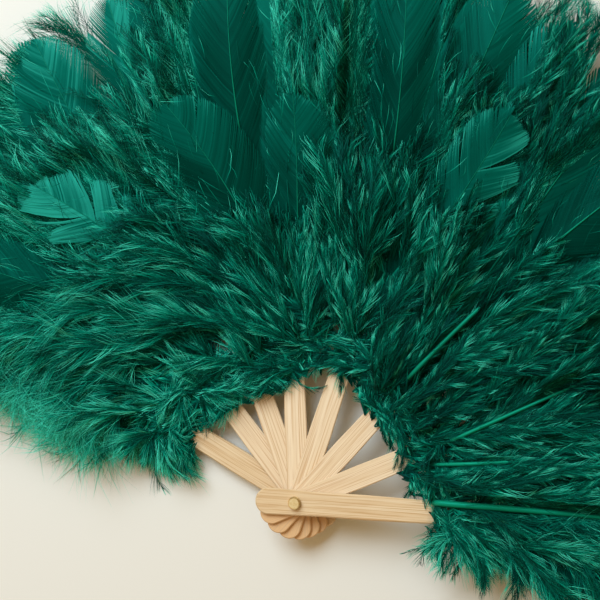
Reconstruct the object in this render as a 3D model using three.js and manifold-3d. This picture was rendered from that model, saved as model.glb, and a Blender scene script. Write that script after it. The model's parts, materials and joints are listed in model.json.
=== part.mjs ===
// A folding feather fan: flat staves stacked on one rivet, each carrying long plumes,
// short cover feathers and a puff of down before and behind it.
// Millimetres, +Z up. The rivet stands on Z, the fan lies open on XY and opens towards +Y.

import * as THREE from 'three';
import { mergeVertices } from 'three/addons/utils/BufferGeometryUtils.js';
import Module from 'manifold-3d';

const wasm = await Module();
wasm.setup();

// Driving sizes, in millimetres

const clearance = 0.3;
const overrun = 5;

const stick = {
  thickness: 1.9,
  tangThickness: 0.8,
  headWidth: 12.6,
  neckWidth: 11.4,
  shankWidth: 12.2,
  headReach: 20.5,
  bladeReach: 124,
  tipWidth: 9,
  edgeBevel: 0.45,
};

const guard = {
  thickness: 2.6,
  tangThickness: 0.8,
  headWidth: 14.2,
  neckWidth: 12.8,
  shankWidth: 13.2,
  headReach: 21.5,
  bladeReach: 128,
  tipWidth: 10,
  edgeBevel: 0.7,
};

const rivet = {
  shankDiameter: 3.2,
  headDiameter: 6.4,
  headHeight: 1.9,
  faceDiameter: 5.4,
  tailDiameter: 6,
  tailThickness: 0.8,
  tailBevel: 0.3,
};

const washer = {
  outerDiameter: 7,
  thickness: 0.8,
  rim: 0.25,
};

const feather = {
  rootReach: 90,
  shoulder: 8,
  quillWidth: 2.2,
  quillTipWidth: 0.8,
  thickness: 0.4,
  edgeThickness: 0.18,
  glueGap: 0.1,
  crown: 11,
  splitWidth: 3.2,
};

const plume = { reach: 290, width: 40 };
const cover = { reach: 220, width: 36, edgeLift: 0.35, liftLength: 22 };

const frontDown = {
  innerReach: 66,
  outerReach: 246,
  loft: 15,
  rimHeight: 3.5,
  tuftDepth: 3,
  tuftReach: 10,
  cellGap: 0.4,
};

const backDown = {
  innerReach: 68,
  outerReach: 262,
  rimHeight: 1.4,
  tuftReach: 16,
  restDepth: 0.5,
  cellGap: 0.4,
};

const keelWidth = 8;

// How far the down reaches past the middle of each guard, on the side where no stave follows
const sideReach = { front_guard: 40, rear_guard: 30 };

const ribbon = {
  reach: 74,
  width: 6,
  thickness: 0.35,
  slack: 1.2,
};

// Counts, angles in degrees and shares of the sizes above

const sweep = {
  firstAngle: 13.7,
  steps: [25.1, 25, 24.2, 20.7, 17.9, 17.8, 21.9],
  outerCellAngle: 24,
};

const neckShare = 0.12;
const waistShare = 0.3;
const bareQuillShare = 0.14;
const fullVaneShare = 0.45;
const splitShares = { start: 0.5, end: 0.8 };
const crownTurnShare = 0.62;
const frontPeakShare = 0.42;
const backPeakShare = 0.3;
const tuftCount = { along: 3, across: 3 };

const steps = {
  end: 14,
  side: 6,
  bore: 16,
  vane: 9,
  downAlong: 7,
  downAcross: 6,
  ribbon: 5,
};

// Long plumes: the angle of the tip off its stave, then shares of a plume's reach and width
const plumeShares = [
  { stave: 0, angle: 7, reach: 0.986, bow: 0.007, width: 1.00 },
  { stave: 0, angle: -1, reach: 0.983, bow: 0.010, width: 0.85 },
  { stave: 0, angle: -12, reach: 0.938, bow: -0.007, width: 1.05 },
  { stave: 1, angle: 9.5, reach: 0.986, bow: 0.007, width: 0.95 },
  { stave: 1, angle: 1.5, reach: 0.993, bow: 0.000, width: 1.00 },
  { stave: 1, angle: -13.3, reach: 0.966, bow: -0.010, width: 0.90 },
  { stave: 2, angle: 12.5, reach: 0.993, bow: 0.010, width: 0.95 },
  { stave: 2, angle: 4, reach: 1.000, bow: 0.000, width: 0.95 },
  { stave: 2, angle: -5.5, reach: 0.986, bow: 0.021, width: 1.00 },
  { stave: 3, angle: 6.5, reach: 1.007, bow: -0.028, width: 0.90 },
  { stave: 3, angle: -5, reach: 1.014, bow: -0.007, width: 1.00 },
  { stave: 4, angle: 5, reach: 1.007, bow: 0.031, width: 1.05 },
  { stave: 4, angle: -4.5, reach: 1.000, bow: -0.007, width: 0.95 },
  { stave: 5, angle: 1, reach: 1.007, bow: 0.007, width: 0.95 },
  { stave: 5, angle: -6.5, reach: 1.000, bow: -0.010, width: 0.90 },
  { stave: 6, angle: -11, reach: 1.014, bow: -0.003, width: 1.00 },
  { stave: 6, angle: 0, reach: 0.993, bow: 0.000, width: 1.00 },
  { stave: 6, angle: 8, reach: 0.986, bow: 0.007, width: 0.95 },
  { stave: 7, angle: -8, reach: 0.983, bow: -0.010, width: 1.00 },
  { stave: 7, angle: 0, reach: 0.990, bow: 0.000, width: 1.00 },
  { stave: 7, angle: 9, reach: 0.966, bow: 0.010, width: 1.05 },
];

// Cover feathers lie over the plumes of their stave; some have a split vane
const coverShares = [
  { stave: 0, angle: 4, reach: 0.977, bow: 0.009, width: 0.94 },
  { stave: 0, angle: -9, reach: 0.932, bow: -0.014, width: 1.00 },
  { stave: 1, angle: -4, reach: 1.000, bow: -0.009, width: 0.94 },
  { stave: 1, angle: 8, reach: 0.977, bow: 0.014, width: 0.94 },
  { stave: 2, angle: -10, reach: 0.977, bow: -0.014, width: 0.94 },
  { stave: 2, angle: 6, reach: 0.964, bow: 0.009, width: 0.89 },
  { stave: 3, angle: -11.3, reach: 1.055, bow: -0.016, width: 1.11, splitSide: -1 },
  { stave: 3, angle: 4, reach: 0.955, bow: 0.009, width: 0.94 },
  { stave: 4, angle: -2.3, reach: 0.986, bow: -0.014, width: 1.06 },
  { stave: 4, angle: 15.8, reach: 0.973, bow: -0.036, width: 1.17 },
  { stave: 5, angle: 20, reach: 1.009, bow: -0.023, width: 1.28, splitSide: 1 },
  { stave: 5, angle: -4, reach: 0.977, bow: -0.009, width: 0.94 },
  { stave: 6, angle: 18.5, reach: 1.082, bow: -0.032, width: 1.06 },
  { stave: 6, angle: -2, reach: 1.000, bow: -0.009, width: 0.94 },
  { stave: 7, angle: -6, reach: 0.977, bow: -0.014, width: 0.94 },
  { stave: 7, angle: 8, reach: 0.955, bow: 0.014, width: 0.94 },
];

function feathers(shares, kind) {
  return shares.map((row) => ({
    ...row,
    reach: row.reach * kind.reach,
    bow: row.bow * kind.reach,
    width: row.width * kind.width,
  }));
}

const plumes = feathers(plumeShares, plume);
const covers = feathers(coverShares, cover);

// Materials

const colours = {
  guard: 0xdcbe92,
  stick: 0xe6c9a0,
  brass: 0xd6b06e,
  plume: 0x06382b,
  cover: 0x033f31,
  down: 0x075540,
  ribbon: 0x0b5a46,
};

function finish(colour, roughness, metalness) {
  return new THREE.MeshStandardMaterial({ color: colour, roughness: roughness, metalness: metalness });
}

const materials = {
  guard: finish(colours.guard, 0.55, 0),
  stick: finish(colours.stick, 0.6, 0),
  brass: finish(colours.brass, 0.25, 1),
  plume: finish(colours.plume, 0.6, 0),
  cover: finish(colours.cover, 0.6, 0),
  down: finish(colours.down, 0.9, 0),
  ribbon: finish(colours.ribbon, 0.5, 0),
};

// The stack, from the tail of the rivet upwards: rear washer, rear guard, sticks, front guard

const staveNames = ['front_guard'];
for (let i = 1; i < sweep.steps.length; i += 1) {
  staveNames.push(`stick_${i}`);
}
staveNames.push('rear_guard');
const lastStave = staveNames.length - 1;

function staveAngle(index) {
  const opened = sweep.steps.slice(0, index).reduce((sum, step) => sum + step, 0);
  return THREE.MathUtils.degToRad(sweep.firstAngle + opened);
}

function staveSizes(index) {
  return index === 0 || index === lastStave ? guard : stick;
}

const rearWasherFloor = rivet.tailThickness + clearance;
const stackFloor = rearWasherFloor + washer.thickness + clearance;

function staveFloor(index) {
  let level = stackFloor;
  for (let i = lastStave; i > index; i -= 1) {
    level += staveSizes(i).thickness + clearance;
  }
  return level;
}

function staveTop(index) {
  return staveFloor(index) + staveSizes(index).thickness;
}

const frontWasherFloor = staveTop(0) + clearance;
const rivetHeadFloor = frontWasherFloor + washer.thickness + clearance;
const boreRadius = rivet.shankDiameter / 2 + clearance;

// Each stave is shaved to a thin tang where its feathers are glued, so that they lie within its thickness
// and the fan can close. These are the levels of plumes and covers above the underside of their stave.

const plumeLift = Math.max(stick.tangThickness, guard.tangThickness) + feather.glueGap;
const coverLift = plumeLift + feather.thickness + clearance;
const coverTop = coverLift + feather.thickness;

// Rise of everything feathered above its stave, by distance from the rivet

const tipReach = Math.max(...plumes.map((row) => row.reach));

function crownRise(x, y) {
  const reach = Math.hypot(x, y);
  const start = guard.bladeReach;
  const along = Math.max(reach - start, 0) / (tipReach - start);
  return feather.crown * Math.sin(crownTurnShare * Math.PI * along) ** 2;
}

// Covers spring up a little more, just past the tips of the staves

function coverRise(x, y) {
  const beyond = (Math.hypot(x, y) - guard.bladeReach) / cover.liftLength;
  return crownRise(x, y) + cover.edgeLift * THREE.MathUtils.clamp(beyond, 0, 1);
}

// Closed mesh through equal rings of points, with a fan of triangles on each end

function ringsToGeometry(rings) {
  const count = rings[0].length;
  const points = rings.flat();
  const faces = [];
  for (let r = 0; r + 1 < rings.length; r += 1) {
    for (let i = 0; i < count; i += 1) {
      const a = r * count + i;
      const b = r * count + ((i + 1) % count);
      faces.push(a, b, b + count, a, b + count, a + count);
    }
  }
  const lastRing = (rings.length - 1) * count;
  for (let i = 1; i + 1 < count; i += 1) {
    faces.push(0, i + 1, i);
    faces.push(lastRing, lastRing + i, lastRing + i + 1);
  }
  const geometry = new THREE.BufferGeometry();
  geometry.setAttribute('position', new THREE.Float32BufferAttribute(points.flatMap((p) => p.toArray()), 3));
  geometry.setIndex(faces);
  return geometry;
}

function toManifold(geometry) {
  const bare = geometry.clone();
  bare.deleteAttribute('normal');
  bare.deleteAttribute('uv');
  const merged = mergeVertices(bare);
  const triVerts = merged.index
    ? new Uint32Array(merged.index.array)
    : Uint32Array.from({ length: merged.attributes.position.count }, (_, i) => i);
  const vertProperties = new Float32Array(merged.attributes.position.array);
  return new wasm.Manifold(new wasm.Mesh({ numProp: 3, vertProperties, triVerts }));
}

function toGeometry(solid) {
  const mesh = solid.getMesh();
  const geometry = new THREE.BufferGeometry();
  geometry.setAttribute('position', new THREE.Float32BufferAttribute(mesh.vertProperties, 3));
  geometry.setIndex(Array.from(mesh.triVerts));
  return geometry;
}

// Staves: a round head behind the rivet, a slight neck, a long blade and a narrowed round end

function staveOutline(size) {
  const head = size.headWidth / 2;
  const headCentre = head - size.headReach;
  const neckAt = size.bladeReach * neckShare;
  const waistAt = size.bladeReach * waistShare;
  const tip = size.tipWidth / 2;
  const tipCentre = size.bladeReach - tip;
  const half = new THREE.CatmullRomCurve3([
    new THREE.Vector3(headCentre, head, 0),
    new THREE.Vector3(neckAt, size.neckWidth / 2, 0),
    new THREE.Vector3(waistAt, size.shankWidth / 2, 0),
    new THREE.Vector3(tipCentre, tip, 0),
  ], false, 'centripetal');
  const side = half.getPoints(steps.side);
  const shape = new THREE.Shape();
  shape.moveTo(headCentre, head);
  shape.absarc(headCentre, 0, head, Math.PI / 2, Math.PI * 3 / 2, false);
  side.slice(1).forEach((p) => shape.lineTo(p.x, -p.y));
  shape.absarc(tipCentre, 0, tip, -Math.PI / 2, Math.PI / 2, false);
  side.slice(1, -1).reverse().forEach((p) => shape.lineTo(p.x, p.y));
  shape.closePath();
  return shape;
}

function staveGeometry(size) {
  const shape = staveOutline(size);
  const blank = new THREE.ExtrudeGeometry(shape, {
    depth: size.thickness - 2 * size.edgeBevel,
    bevelThickness: size.edgeBevel,
    bevelSize: size.edgeBevel,
    bevelOffset: -size.edgeBevel,
    bevelSegments: 1,
    curveSegments: steps.end,
  });
  blank.translate(0, 0, size.edgeBevel);
  const drill = new THREE.CylinderGeometry(boreRadius, boreRadius, size.thickness + 2 * overrun, steps.bore);
  drill.rotateX(Math.PI / 2);
  return toGeometry(toManifold(blank).subtract(toManifold(drill)).subtract(tangCut(size)));
}

// What is shaved off the face of a stave, from a sloping shoulder to past its tip

function tangCut(size) {
  const end = size.bladeReach + overrun;
  const above = size.thickness + overrun;
  const foot = feather.rootReach - feather.quillWidth;
  const profile = new THREE.Shape([
    new THREE.Vector2(foot, size.tangThickness),
    new THREE.Vector2(end, size.tangThickness),
    new THREE.Vector2(end, above),
    new THREE.Vector2(foot - feather.shoulder, above),
    new THREE.Vector2(foot - feather.shoulder, size.thickness),
  ]);
  const width = size.headWidth + 2 * overrun;
  const cut = new THREE.ExtrudeGeometry(profile, { depth: width, bevelEnabled: false });
  cut.rotateX(Math.PI / 2);
  cut.translate(0, width / 2, 0);
  return toManifold(cut);
}

// Rivet and washers, turned about Z

function rivetGeometry() {
  const shank = rivet.shankDiameter / 2;
  const head = rivet.headDiameter / 2;
  const face = rivet.faceDiameter / 2;
  const tail = rivet.tailDiameter / 2;
  const bevel = rivet.tailBevel;
  const neck = rivetHeadFloor + (rivet.headHeight + head - face) / 2;
  const profile = [
    [0, 0],
    [tail - bevel, 0],
    [tail, bevel],
    [tail, rivet.tailThickness],
    [shank, rivet.tailThickness],
    [shank, rivetHeadFloor],
    [head, rivetHeadFloor],
    [head, neck],
    [face, rivetHeadFloor + rivet.headHeight],
    [0, rivetHeadFloor + rivet.headHeight],
  ];
  return new THREE.LatheGeometry(profile.map(([r, z]) => new THREE.Vector2(r, z)), steps.bore);
}

function washerGeometry() {
  const outer = washer.outerDiameter / 2;
  const rim = washer.rim;
  const profile = [
    [boreRadius, 0],
    [outer - rim, 0],
    [outer, rim],
    [outer, washer.thickness - rim],
    [outer - rim, washer.thickness],
    [boreRadius + rim, washer.thickness],
    [boreRadius, washer.thickness - rim],
    [boreRadius, 0],
  ];
  return new THREE.LatheGeometry(profile.map(([r, z]) => new THREE.Vector2(r, z)), steps.bore);
}

function turnedUpright(geometry) {
  geometry.rotateX(Math.PI / 2);
  return toGeometry(toManifold(geometry));
}

// Feathers, in the frame of their stave: X runs along it and Z up from its face

function quillLine(row) {
  const root = new THREE.Vector2(feather.rootReach, 0);
  const angle = THREE.MathUtils.degToRad(row.angle);
  const tip = new THREE.Vector2(row.reach * Math.cos(angle), row.reach * Math.sin(angle));
  const across = tip.clone().sub(root).normalize().rotateAround(new THREE.Vector2(), Math.PI / 2);
  const middle = root.clone().add(tip).divideScalar(2).addScaledVector(across, 2 * row.bow);
  return new THREE.QuadraticBezierCurve(root, middle, tip);
}

function quillHalfWidth(share) {
  return THREE.MathUtils.lerp(feather.quillWidth, feather.quillTipWidth, share) / 2;
}

// The vane widens over its first part, keeps its width and ends round

function vaneHalfWidth(share, width) {
  const quill = quillHalfWidth(share);
  const along = Math.max(share - bareQuillShare, 0) / (1 - bareQuillShare);
  const widened = Math.sin(Math.min(along / fullVaneShare, 1) * Math.PI / 2);
  const rounded = Math.sqrt(Math.max(1 - along ** 5, 0));
  return quill + (width / 2 - quill) * widened * rounded;
}

function featherRing(line, share, row, lift, riseAt) {
  const centre = line.getPointAt(share);
  const tangent = line.getTangentAt(share);
  const half = vaneHalfWidth(share, row.width);
  const rib = quillHalfWidth(share);
  const section = [
    [-half, 0],
    [half, 0],
    [half, feather.edgeThickness],
    [rib, feather.thickness],
    [-rib, feather.thickness],
    [-half, feather.edgeThickness],
  ];
  return section.map(([side, height]) => {
    const x = centre.x - tangent.y * side;
    const y = centre.y + tangent.x * side;
    return new THREE.Vector3(x, y, lift + height + riseAt(x, y));
  });
}

function featherSolid(row, lift, riseAt) {
  const line = quillLine(row);
  const rings = [];
  for (let i = 0; i <= steps.vane; i += 1) {
    const share = 1 - (1 - i / steps.vane) ** 1.5;
    rings.push(featherRing(line, share, row, lift, riseAt));
  }
  const solid = toManifold(ringsToGeometry(rings));
  return row.splitSide ? solid.subtract(splitWedge(line, row, lift)) : solid;
}

// A split in a vane: a narrow wedge that opens from the quill to the edge, towards the tip

function splitWedge(line, row, lift) {
  const from = line.getPointAt(splitShares.start);
  const tangent = line.getTangentAt(splitShares.start);
  const out = new THREE.Vector2(-tangent.y, tangent.x).multiplyScalar(row.splitSide);
  const apex = from.clone().addScaledVector(out, feather.quillWidth);
  const edge = line.getPointAt(splitShares.end).addScaledVector(out, row.width);
  const along = edge.clone().sub(apex).normalize();
  const open = new THREE.Vector2(-along.y, along.x).multiplyScalar(feather.splitWidth);
  const shape = new THREE.Shape([apex, edge.clone().add(open), edge.clone().sub(open)]);
  const height = feather.crown + feather.thickness + 2 * overrun;
  const wedge = new THREE.ExtrudeGeometry(shape, { depth: height, bevelEnabled: false });
  wedge.translate(0, 0, lift - overrun);
  return toManifold(wedge);
}

function sprayGeometry(rows, lift, riseAt) {
  const solids = rows.map((row) => featherSolid(row, lift, riseAt));
  return toGeometry(solids.reduce((joined, solid) => joined.add(solid)));
}

// Down, in the frame of its stave. Each puff fills its own cell, half way to each neighbour,
// and is a sheet of points: along runs outwards from 0 to 1, across from side to side, -1 to 1.
// Past a guard it keeps its width, and is drawn in near the rivet

function cellAngles(index, reach) {
  const outer = THREE.MathUtils.radToDeg(Math.asin((sideReach[staveNames[index]] ?? 0) / reach));
  const side = Math.min(outer, sweep.outerCellAngle);
  const before = index === 0 ? side : sweep.steps[index - 1] / 2;
  const after = index === lastStave ? side : sweep.steps[index] / 2;
  return [-before, after].map(THREE.MathUtils.degToRad);
}

// The inner and outer ends of a puff are drawn in between its tufts

function cellPoint(puff, index, along, across) {
  const tuft = Math.abs(Math.cos(Math.PI * tuftCount.across * across / 2));
  const full = THREE.MathUtils.lerp(puff.innerReach, puff.outerReach, along);
  const drawnIn = puff.tuftReach * (1 - tuft) * (2 * along - 1) * Math.abs(2 * along - 1);
  const reach = full - drawnIn;
  const [low, high] = cellAngles(index, reach);
  const inset = puff.cellGap / reach;
  const angle = THREE.MathUtils.lerp(low + inset, high - inset, (across + 1) / 2);
  return [reach * Math.cos(angle), reach * Math.sin(angle)];
}

// Height of a puff as a share: a rounded ridge across, highest at its peak along

function loftShare(along, across, peak) {
  const rise = along < peak ? along / peak : (1 - along) / (1 - peak);
  const dome = Math.sqrt(Math.max(1 - across ** 4, 0));
  return Math.sin(rise * Math.PI / 2) ** 0.7 * dome;
}

// Ring of points round a puff: its underside from side to side, then back over its top

function puffRing(puff, index, along, lowAt, highAt) {
  const middle = steps.downAcross / 2;
  const under = [];
  const over = [];
  for (let i = 0; i <= steps.downAcross; i += 1) {
    const across = (i - middle) / middle;
    const [x, y] = cellPoint(puff, index, along, across);
    under.push(new THREE.Vector3(x, y, lowAt(x, y, across)));
    over.unshift(new THREE.Vector3(x, y, highAt(x, y, across)));
  }
  return [...under, ...over];
}

// The keel is the rooted middle of a puff, that meets its own stave

function onKeel(x, y) {
  const pastShoulder = x > feather.rootReach + feather.shoulder;
  return pastShoulder && x < stick.bladeReach && Math.abs(y) < keelWidth / 2;
}

// Front down lies over the covers of its own stave and of the next one up

function frontDownRing(index, along) {
  const puff = frontDown;
  const ownCovers = staveFloor(index) + coverTop + clearance;
  const overRibbon = staveTop(index) + ribbon.thickness + 2 * clearance;
  const nextCovers = (index > 0 ? staveFloor(index - 1) + coverTop + clearance : ownCovers) + cover.edgeLift;
  const floor = Math.max(overRibbon, nextCovers);
  const lowAt = (x, y) => crownRise(x, y) + (onKeel(x, y) ? ownCovers : floor);
  const highAt = (x, y, across) => {
    const share = loftShare(along, across, frontPeakShare);
    const tuft = Math.abs(Math.sin(Math.PI * tuftCount.along * along));
    const loft = (puff.loft - puff.rimHeight - puff.tuftDepth * tuft) * share;
    return crownRise(x, y) + floor + puff.rimHeight + loft;
  };
  return puffRing(puff, index, along, lowAt, highAt);
}

// Back down bulges from under its stave to the surface that the fan lies on, and is pressed flat there

function backDownRing(index, along) {
  const puff = backDown;
  const underStave = staveFloor(index) - clearance;
  const underPlumes = index < lastStave ? staveFloor(index + 1) + plumeLift - clearance : underStave;
  const top = Math.min(underStave, underPlumes);
  const highAt = (x, y) => crownRise(x, y) + (onKeel(x, y) ? underStave : top);
  const lowAt = (x, y, across) => {
    const roof = highAt(x, y) - puff.rimHeight;
    const bulge = (roof + puff.restDepth) * loftShare(along, across, backPeakShare);
    return Math.max(roof - bulge, 0);
  };
  return puffRing(puff, index, along, lowAt, highAt);
}

function downGeometry(index, ringAt) {
  const rings = [];
  for (let i = 0; i <= steps.downAlong; i += 1) {
    rings.push(ringAt(index, i / steps.downAlong));
  }
  return ringsToGeometry(rings);
}

// Link ribbon from a stave to the one above it, glued to both faces, in the lower stave's frame

function ribbonGeometry(index) {
  const lower = index + 1;
  const step = staveAngle(lower) - staveAngle(index);
  const levelHere = staveTop(lower) + clearance;
  const rise = staveTop(index) - staveTop(lower);
  const start = clearance / ribbon.reach;
  const edge = step - (staveSizes(index).shankWidth / 2 + clearance) / ribbon.reach;
  const end = step - start;
  const angles = [start];
  for (let i = 0; i <= steps.ribbon; i += 1) {
    angles.push(THREE.MathUtils.lerp(stick.shankWidth / 2 / ribbon.reach, edge, i / steps.ribbon));
  }
  angles.push(end);
  const rings = angles.map((angle, i) => {
    const share = THREE.MathUtils.clamp((i - 1) / steps.ribbon, 0, 1);
    const sag = ribbon.slack * Math.sin(Math.PI * share);
    const level = levelHere + rise * share;
    return [[0, 0], [ribbon.width, 0], [ribbon.width, ribbon.thickness], [0, ribbon.thickness]].map(([out, up]) => {
      const reach = ribbon.reach + out - sag;
      return new THREE.Vector3(reach * Math.cos(-angle), reach * Math.sin(-angle), level + up);
    });
  });
  return ringsToGeometry(rings);
}

// Assembly

const fan = new THREE.Group();

function place(name, geometry, material, parent, height = 0) {
  const mesh = new THREE.Mesh(geometry, material);
  mesh.name = name;
  mesh.position.z = height;
  parent.add(mesh);
}

place('rivet_pin', turnedUpright(rivetGeometry()), materials.brass, fan);
place('rear_washer', turnedUpright(washerGeometry()), materials.brass, fan, rearWasherFloor);
place('front_washer', turnedUpright(washerGeometry()), materials.brass, fan, frontWasherFloor);

staveNames.forEach((name, index) => {
  const arm = new THREE.Group();
  arm.rotation.z = staveAngle(index);
  fan.add(arm);
  const size = staveSizes(index);
  const wood = size === guard ? materials.guard : materials.stick;
  const ownPlumes = plumes.filter((row) => row.stave === index);
  const ownCovers = covers.filter((row) => row.stave === index);
  place(name, staveGeometry(size), wood, arm, staveFloor(index));
  place(`${name}_plumes`, sprayGeometry(ownPlumes, plumeLift, crownRise), materials.plume, arm, staveFloor(index));
  place(`${name}_covers`, sprayGeometry(ownCovers, coverLift, coverRise), materials.cover, arm, staveFloor(index));
  place(`${name}_down_front`, downGeometry(index, frontDownRing), materials.down, arm);
  place(`${name}_down_back`, downGeometry(index, backDownRing), materials.down, arm);
});

for (let index = 0; index < lastStave; index += 1) {
  const arm = new THREE.Group();
  arm.rotation.z = staveAngle(index + 1);
  fan.add(arm);
  place(`link_ribbon_${index + 1}`, ribbonGeometry(index), materials.ribbon, arm);
}

export default fan;
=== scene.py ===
# Folding feather fan: bamboo staves on a brass rivet, flat plumes, split covers and marabou down.
# Lengths in the dictionaries are in millimetres, and become metres when a mesh is made. Only the wood's grain and
# the stage are in metres.

import json
import bpy
import numpy as np
from mathutils import Matrix, Vector


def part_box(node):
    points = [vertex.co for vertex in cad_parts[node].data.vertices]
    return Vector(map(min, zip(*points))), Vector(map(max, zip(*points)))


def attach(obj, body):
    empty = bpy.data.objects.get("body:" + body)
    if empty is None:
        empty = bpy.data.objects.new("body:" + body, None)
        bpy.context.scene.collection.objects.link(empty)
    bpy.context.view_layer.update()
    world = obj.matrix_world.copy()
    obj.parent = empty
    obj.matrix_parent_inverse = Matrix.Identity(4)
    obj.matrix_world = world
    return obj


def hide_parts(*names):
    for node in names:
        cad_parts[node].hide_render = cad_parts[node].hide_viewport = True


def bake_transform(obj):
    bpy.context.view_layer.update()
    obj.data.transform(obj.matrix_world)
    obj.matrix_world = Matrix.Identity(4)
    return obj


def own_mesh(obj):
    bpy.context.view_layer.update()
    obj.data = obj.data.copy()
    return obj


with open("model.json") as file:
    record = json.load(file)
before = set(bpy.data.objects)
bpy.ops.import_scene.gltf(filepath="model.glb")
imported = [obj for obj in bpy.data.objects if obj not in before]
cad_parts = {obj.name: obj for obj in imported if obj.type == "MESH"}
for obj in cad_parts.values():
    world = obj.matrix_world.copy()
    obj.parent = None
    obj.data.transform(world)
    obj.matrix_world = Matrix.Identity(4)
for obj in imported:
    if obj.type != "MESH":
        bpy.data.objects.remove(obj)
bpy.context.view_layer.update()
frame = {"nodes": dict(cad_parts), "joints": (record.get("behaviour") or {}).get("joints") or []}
nodes = frame["nodes"]
mm = 0.001

# Staves: names from the top of the stack down, their angles from the joint ranges, their levels from the frame

fan = {
    "firstAngle": 13.7,  # degrees, front guard
    "outerCell": 20.0,  # degrees of fluff outside each guard
    "innerEdge": [(-14, 66), (4, 71), (20, 73), (27, 52), (40, 60), (60, 56), (76, 60), (83, 72), (94, 71), (101, 65),
                  (111, 57), (135, 57), (160, 64), (180, 68)],  # angle, and how near the rivet the down comes there
    "brush": [(-15, -66), (0, -44), (14, -14), (28, -4), (60, 0), (88, 6), (105, 28), (125, 54), (145, 70),
              (166, 80), (185, 84)],  # angle, and how far the down there is brushed aside, in degrees
    "brushFades": (150, 240, 0.6),  # the reach where that begins to lessen, where it ends to, and by what share
    "barbShare": [(0, 1.0), (14, 0.9), (39, 0.62), (64, 0.6), (88, 0.8), (109, 0.95), (127, 1.15),
                  (166, 1.25)],  # angle, and how long the barbs of the down are there, as a share of their kind's
    # painted light and shade: the down is painted lighter on the left, where the light falls, and darker towards the
    # right
    "tone": [(-15, 0.16), (5, 0.08), (18, -0.03), (39, -0.16), (64, -0.14), (88, -0.07), (109, -0.05), (127, 0.02),
             (166, 0.1)],  # angle, and how much lighter the down is there
    "rimTone": 0.09,  # and how much lighter it is near its rim
    "rim": (100, 190),  # the reach where that begins, and where it is full
    "leftSide": [(61, 178), (87, 186), (105, 183), (118, 180), (132, 176.5), (169, 175), (300, 178)],  # reach, angle
    "rightSide": [(66, -5), (73, -9), (91, -14.5), (120, -19), (300, -16)],
    "tipEdge": 304,  # how far out the down comes
    "frontEdge": -37,  # and how far past the front guard, along Y
    "coverRise": 6.0,  # how much the down rises over the covers
    "overCovers": (118, 160, 215, 250),  # the reaches between which it rises, and between which it sinks back
    "ceiling": (36, 50),  # the level where its tips begin to bend flat, and one that none passes
    "floor": (-3.1, -2.9),  # the lowest level of its barbs, and of its shafts
    "seed": 41,
}

staveNames = ["front_guard"] + [f"stick_{i}" for i in range(1, 7)] + ["rear_guard"]
ranges = {joint["child"]: joint["range_deg"][1] for joint in frame["joints"]}
stepsToNext = np.array([ranges[name] for name in staveNames[:-1]])
staveAngles = np.radians(fan["firstAngle"] + np.concatenate([[0], np.cumsum(stepsToNext)]))
staveFloors = np.array([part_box(name)[0].z for name in staveNames]) / mm
staveTops = np.array([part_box(name)[1].z for name in staveNames]) / mm
lastStave = len(staveNames) - 1


def cellSides(index):
    # angles from a stave to the two sides of its cell: half way to each neighbour
    before = fan["outerCell"] if index == 0 else stepsToNext[index - 1] / 2
    after = fan["outerCell"] if index == lastStave else stepsToNext[index] / 2
    return -np.radians(before), np.radians(after)


def smooth(low, high, x):
    # 0 below low, 1 above high, an S curve between
    t = np.clip((x - low) / (high - low), 0, 1)
    return t * t * (3 - 2 * t)


def fieldAt(pairs, x):
    # straight between the pairs of a table
    places, values = np.array(pairs, float).T
    return np.interp(x, places, values)


def unit(v):
    # vectors divided by their lengths
    return v / np.maximum(np.linalg.norm(v, axis=-1, keepdims=True), 1e-9)


def turnXY(points, angle):
    # the points turned about Z by an angle
    c, s = np.cos(angle), np.sin(angle)
    out = points.copy()
    out[..., 0] = points[..., 0] * c - points[..., 1] * s
    out[..., 1] = points[..., 0] * s + points[..., 1] * c
    return out


# Meshes

def meshObject(name, points, faces, uvs, materials, finish=None):
    # points in millimetres; faces is a list of index arrays, one row for each face; uvs has one pair for each point;
    # finish has the number of the material of each of those arrays
    mesh = bpy.data.meshes.new(name)
    loops = np.concatenate([f.ravel() for f in faces]).astype(np.int32)
    sizes = np.concatenate([np.full(len(f), f.shape[1]) for f in faces])
    starts = np.concatenate([[0], np.cumsum(sizes)[:-1]]).astype(np.int32)
    mesh.vertices.add(len(points))
    mesh.vertices.foreach_set("co", (points * mm).astype(np.float32).ravel())
    mesh.loops.add(len(loops))
    mesh.loops.foreach_set("vertex_index", loops)
    mesh.polygons.add(len(starts))
    mesh.polygons.foreach_set("loop_start", starts)
    mesh.polygons.foreach_set("use_smooth", np.ones(len(starts), bool))
    layer = mesh.uv_layers.new(name="OFBake")
    layer.uv.foreach_set("vector", uvs[loops].astype(np.float32).ravel())
    for material in materials:
        mesh.materials.append(material)
    if finish is not None:
        numbers = np.concatenate([np.full(len(f), k) for f, k in zip(faces, finish)])
        mesh.polygons.foreach_set("material_index", numbers.astype(np.int32))
    mesh.update(calc_edges=True)
    obj = bpy.data.objects.new(name, mesh)
    bpy.context.scene.collection.objects.link(obj)
    return obj


def joinParts(parts):
    # several (points, faces, uvs, material number) as one, with the faces renumbered
    points, faces, uvs, finish, count = [], [], [], [], 0
    for p, f, uv, number in parts:
        points.append(p)
        faces += [one + count for one in f]
        finish += [number] * len(f)
        uvs.append(uv)
        count += len(p)
    return np.concatenate(points), faces, np.concatenate(uvs), finish


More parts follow.
